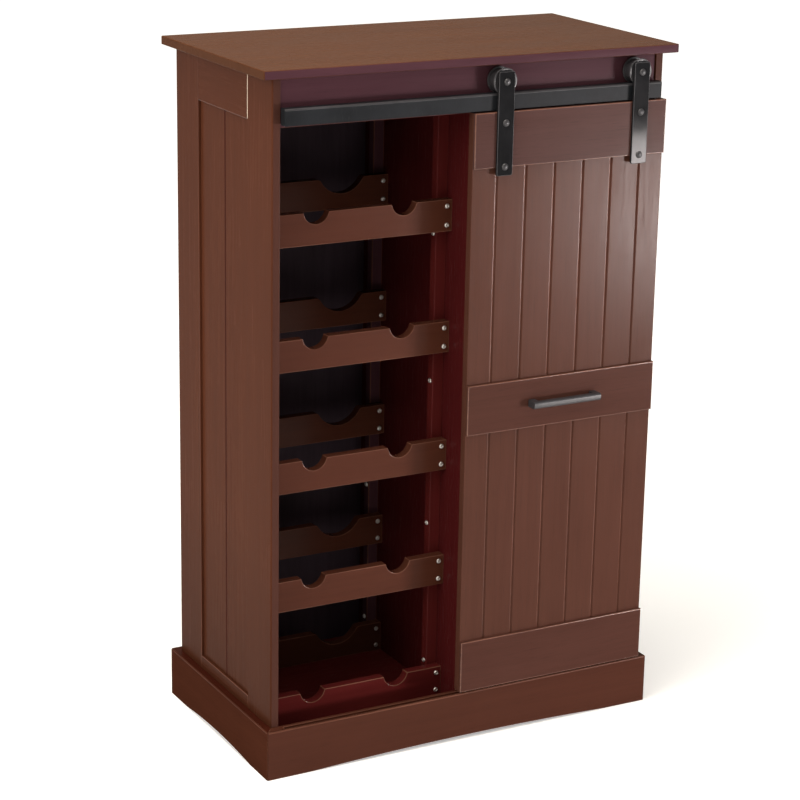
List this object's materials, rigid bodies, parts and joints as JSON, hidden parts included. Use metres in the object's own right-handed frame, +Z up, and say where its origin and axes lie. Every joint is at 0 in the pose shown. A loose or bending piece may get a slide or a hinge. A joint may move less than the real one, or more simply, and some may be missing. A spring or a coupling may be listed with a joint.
{
  "type": "wine cabinet",
  "caption": "Tall wood wine cabinet with an open notched bottle rack on one side and a plank barn door that rolls sideways on a black metal track.",
  "frame": {"origin": "on the floor, under the middle of the whole cabinet, pull handle included", "axes": "+Z up, -Y towards the front, +X to the right as one faces the front; the door slides along X"},
  "size_m": [0.645, 0.362, 1],
  "materials": {
    "stained_wood": "satin",
    "stained_board": "satin",
    "black_metal": "satin",
    "plated_steel": "satin"
  },
  "bodies": {
    "cabinet": {"top_board": "stained_wood", "fascia_rail": "stained_wood", "left_front_stile": "stained_wood", "left_rear_stile": "stained_wood", "left_top_rail": "stained_wood", "left_bottom_rail": "stained_wood", "left_side_panel": "stained_wood", "right_front_stile": "stained_wood", "right_rear_stile": "stained_wood", "right_top_rail": "stained_wood", "right_bottom_rail": "stained_wood", "right_side_panel": "stained_wood", "centre_divider": "stained_wood", "back_panel": "stained_board", "floor_board": "stained_wood", "base_front_board": "stained_wood", "base_back_board": "stained_wood", "base_left_board": "stained_wood", "base_right_board": "stained_wood", "left_front_post": "stained_wood", "left_rear_post": "stained_wood", "right_front_post": "stained_wood", "right_rear_post": "stained_wood", "front_neck_rail_1": "stained_wood", "front_neck_rail_2": "stained_wood", "front_neck_rail_3": "stained_wood", "front_neck_rail_4": "stained_wood", "front_neck_rail_5": "stained_wood", "rear_bottle_rail_1": "stained_wood", "rear_bottle_rail_2": "stained_wood", "rear_bottle_rail_3": "stained_wood", "rear_bottle_rail_4": "stained_wood", "rear_bottle_rail_5": "stained_wood", "upper_shelf": "stained_wood", "lower_shelf": "stained_wood", "rack_screws": "plated_steel", "post_screws": "plated_steel", "shelf_pins": "plated_steel", "track_rail": "black_metal", "track_spacers": "black_metal", "track_screws": "plated_steel"},
    "door": {"door_panel": "stained_wood", "door_top_rail": "stained_wood", "door_mid_rail": "stained_wood", "door_bottom_rail": "stained_wood", "pull_handle": "black_metal", "handle_screws": "plated_steel", "left_hanger_strap": "black_metal", "right_hanger_strap": "black_metal", "strap_bolts": "black_metal", "axle_bolts": "black_metal", "door_guide_pegs": "plated_steel"},
    "left_wheel": {"left_roller": "black_metal"},
    "right_wheel": {"right_roller": "black_metal"}
  },
  "joints": [
    {"name": "door_slide", "type": "slide", "parent": "cabinet", "child": "door", "axis": [-1, 0, 0], "range_m": [0, 0.291]},
    {"name": "left_wheel_turn", "type": "hinge", "parent": "door", "child": "left_wheel", "pos_m": [0.03575, -0.154, 0.9657], "axis": [0, -1, 0], "range_deg": [0, 1048.7]},
    {"name": "right_wheel_turn", "type": "hinge", "parent": "door", "child": "right_wheel", "pos_m": [0.25525, -0.154, 0.9657], "axis": [0, -1, 0], "range_deg": [0, 1048.7]}
  ],
  "couplings": [
    {"joint": "left_wheel_turn", "follows": "door_slide", "rad_per_m": 62.893},
    {"joint": "right_wheel_turn", "follows": "door_slide", "rad_per_m": 62.893}
  ]
}
